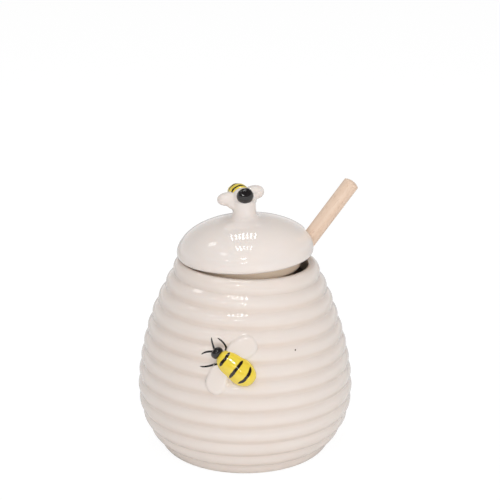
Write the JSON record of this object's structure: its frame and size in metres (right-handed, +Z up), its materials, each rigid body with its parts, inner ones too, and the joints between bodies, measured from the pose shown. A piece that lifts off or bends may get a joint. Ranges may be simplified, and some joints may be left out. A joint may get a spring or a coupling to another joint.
{
  "type": "honey jar",
  "caption": "Beehive-shaped porcelain jar with ringed wall, bee relief, loose domed lid with a bee knob and dipper notch, and a wooden honey dipper.",
  "frame": {"origin": "on the jar's axis, in the plane of its foot ring", "axes": "+Z up along the jar's axis; the bee in relief faces -Y; the dipper leans out to +X"},
  "size_m": [0.115, 0.1145, 0.1421],
  "materials": {
    "porcelain": "clear glossy glaze over warm white porcelain",
    "yellow_glaze": "yellow colour brushed on under the clear glaze, with dark brush lines across it",
    "black_glaze": "near-black colour under the clear glaze",
    "beech": "bare sanded pale beech with fine straight grain"
  },
  "bodies": {
    "jar": {"jar_body": "porcelain", "relief_body": "yellow_glaze", "relief_head": "black_glaze", "relief_wing_upper": "porcelain", "relief_wing_lower": "porcelain"},
    "lid": {"lid_dome": "porcelain", "knob_stem": "porcelain", "knob_bee_body": "yellow_glaze", "knob_bee_head": "black_glaze", "knob_wing_left": "porcelain", "knob_wing_right": "porcelain"},
    "dipper": {"dipper_handle": "beech", "dipper_head": "beech"}
  },
  "joints": [
    {"name": "lid_lift", "type": "slide", "parent": "jar", "child": "lid", "axis": [0, 0, 1], "range_m": [0, 0.08]},
    {"name": "dipper_pull", "type": "slide", "parent": "jar", "child": "dipper", "axis": [0.5936, 0.0993, 0.7986], "range_m": [0, 0.05]}
  ]
}
